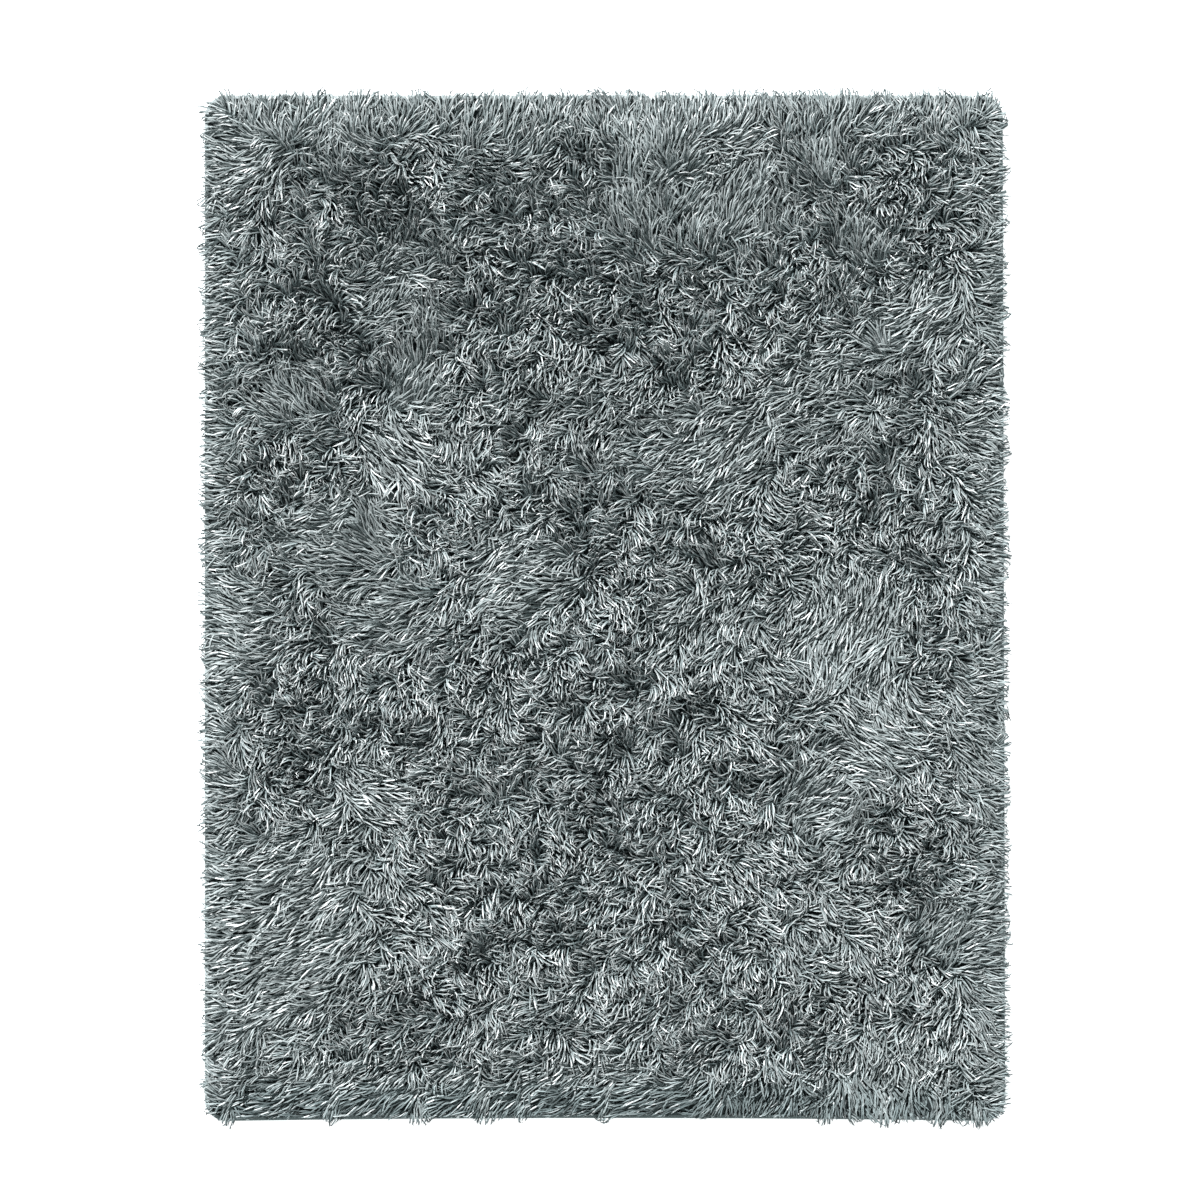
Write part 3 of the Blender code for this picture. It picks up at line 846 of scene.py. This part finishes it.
def pile_yarn_painted_shade():
    """Soft polyester yarn, painted with shade and highlight: dark towards the root, where light
    doesn't reach, and pale towards the tip. A satin sheen, a little different in tone from strand
    to strand."""
    made = bpy.data.materials.new("polyester_yarn_painted_shade")
    made.use_nodes = True
    shader = made.node_tree.nodes["Principled BSDF"]
    shader.inputs["Roughness"].default_value = 0.42
    shader.inputs["Specular IOR Level"].default_value = 0.5
    shader.inputs["Sheen Weight"].default_value = 0.2
    shader.inputs["Sheen Roughness"].default_value = 0.4
    along = add_node(made, "ShaderNodeAttribute", [("attribute_name", "along")])
    ramp = add_node(made, "ShaderNodeValToRGB", [], [("Fac", along, "Fac")])
    ramp.color_ramp.elements.new(YARN_SHADE_COLOURS[1][0])
    for stop, (position, hex_colour) in zip(ramp.color_ramp.elements, YARN_SHADE_COLOURS):
        stop.position = position
        stop.color = linear(hex_colour)
    tone = add_node(made, "ShaderNodeAttribute", [("attribute_name", "tone")])
    bright = add_node(
        made,
        "ShaderNodeMath",
        [("operation", "MULTIPLY_ADD"), (1, TONE_BRIGHTER), (2, 1.0)],
        [(0, tone, "Fac")],
    )
    colour = add_node(
        made,
        "ShaderNodeVectorMath",
        [("operation", "SCALE")],
        [(0, ramp, "Color"), ("Scale", bright, "Value")],
    )
    made.node_tree.links.new(shader.inputs["Base Color"], colour.outputs["Vector"])
    return made


def band_mesh(number, layers):
    """The strands of all layers whose roots stand in this band, as one mesh."""
    parts = []
    start = 0
    for layer, path, *values in layers:
        share = (path[:, 0, 1] - BACKING_LOW[1]) / (2 * HALF_LENGTH)
        mine = np.clip((share * PILE_BANDS).astype(int), 0, PILE_BANDS - 1) == number
        values = (each[mine] for each in values)
        points, triangles, *shades = strand_mesh(layer, path[mine], *values)
        parts.append((points, triangles + start, *shades))
        start += len(points)
    return [np.concatenate(each) for each in zip(*parts)]


yarn = pile_yarn_painted_shade()
strand_draw = np.random.default_rng(PILE_SEED)
tuft_sets = tufts(strand_draw)
layers = [(layer, *strand_paths(layer, tuft_sets, strand_draw)) for layer in (UPPER, LOWER)]
for number in range(PILE_BANDS):
    points, triangles, along, tone = band_mesh(number, layers)
    shades = (("along", along), ("tone", tone))
    name = f"pile_band_{number + 1}"
    strands = new_piece(name, points, triangles, yarn, shades, smooth=False)
    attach(strands, "root")
    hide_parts("pile")


# The floor and the light. A pale studio floor, one slanting light from the far end, whose
# edge is a little soft, and dim light from all round that softens the shadows.

FLOOR_HALF = 40.0
FLOOR_COLOUR = "#f4f4f4"
FLOOR_GLOW = 0.85  # it glows as well, so that it stays plain white beside the rug
KEY_STRENGTH = 11.2
KEY_WIDTH = 1.5  # its width in the sky, in degrees
KEY_TILT = (-56, 0, 24)  # from straight down, about X, Y and Z, in degrees
STUDIO_COLOUR = (0.85, 1.0, 1.0, 1.0)
STUDIO_STRENGTH = 0.42


def floor_paint():
    """Matt white paint."""
    made = bpy.data.materials.new("matt_paint")
    made.use_nodes = True
    shader = made.node_tree.nodes["Principled BSDF"]
    shader.inputs["Base Color"].default_value = linear(FLOOR_COLOUR)
    shader.inputs["Emission Color"].default_value = (1.0, 1.0, 1.0, 1.0)
    shader.inputs["Emission Strength"].default_value = FLOOR_GLOW
    shader.inputs["Roughness"].default_value = 0.9
    shader.inputs["Specular IOR Level"].default_value = 0.2
    return made


floor_points = FLOOR_HALF * np.array([(-1, -1, 0), (1, -1, 0), (1, 1, 0), (-1, 1, 0)])
floor = new_piece("floor", floor_points, np.array([(0, 1, 2), (0, 2, 3)]), floor_paint())

key_data = bpy.data.lights.new("key", "SUN")
key_data.energy = KEY_STRENGTH
key_data.angle = np.radians(KEY_WIDTH)
key = bpy.data.objects.new("key", key_data)
key.rotation_euler = np.radians(KEY_TILT)
bpy.context.scene.collection.objects.link(key)

world = bpy.data.worlds.new("studio")
world.use_nodes = True
world.node_tree.nodes["Background"].inputs["Color"].default_value = STUDIO_COLOUR
world.node_tree.nodes["Background"].inputs["Strength"].default_value = STUDIO_STRENGTH
bpy.context.scene.world = world


# The camera, straight above. The rug's middle lies a little right of and below the middle of
# the photograph.

PHOTO_WIDTH = 1.8576  # how much of the floor the photograph shows from side to side
RUG_RIGHT_OF_MIDDLE = 0.0070
RUG_BELOW_MIDDLE = 0.0108
LENS = 85.0
SENSOR_WIDTH = 36.0

camera_data = bpy.data.cameras.new("camera")
camera_data.lens = LENS
camera_data.sensor_width = SENSOR_WIDTH
camera = bpy.data.objects.new("camera", camera_data)
camera.location = (
    -RUG_RIGHT_OF_MIDDLE,
    RUG_BELOW_MIDDLE,
    PHOTO_WIDTH * LENS / SENSOR_WIDTH + ROOT_HEIGHT,
)
bpy.context.scene.collection.objects.link(camera)
bpy.context.scene.camera = camera
bpy.context.scene.view_settings.view_transform = "Standard"
bpy.context.scene.view_settings.look = "None"
